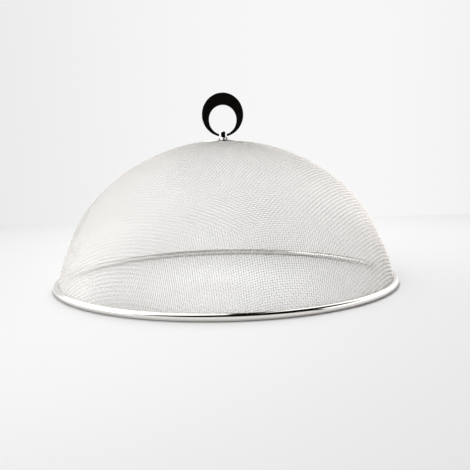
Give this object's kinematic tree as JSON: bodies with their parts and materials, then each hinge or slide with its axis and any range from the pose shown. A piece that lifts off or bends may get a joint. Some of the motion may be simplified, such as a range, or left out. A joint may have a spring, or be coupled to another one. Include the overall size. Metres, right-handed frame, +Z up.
{
  "type": "mesh food dome",
  "caption": "Round woven-wire food cover with a rolled rim, and a ring handle that swings in a post on its crown.",
  "frame": {"origin": "middle of the circle that the rim rests on, at the level of the table", "axes": "+Z up along the dome's axis to the handle; the ring handle faces along Y and swings about an axis along X"},
  "size_m": [0.35, 0.35, 0.1918],
  "materials": {
    "mesh_wire": "bright plain-woven stainless wire",
    "rim_strip": "satin rolled stainless strip",
    "handle_chrome": "mirror chrome plating",
    "plain_steel": "plain stainless"
  },
  "bodies": {
    "dome": {"mesh_dome": "mesh_wire", "rim_band": "rim_strip", "rim_core_wire": "plain_steel", "crown_disc": "handle_chrome", "inner_washer": "plain_steel", "spring_washer": "plain_steel", "cap_nut": "handle_chrome", "handle_post": "handle_chrome"},
    "ring": {"ring_handle": "handle_chrome"}
  },
  "joints": [
    {"name": "ring_swing", "type": "hinge", "parent": "dome", "child": "ring", "pos_m": [0, 0, 0.14876], "axis": [1, 0, 0], "range_deg": [-97, 97]}
  ]
}
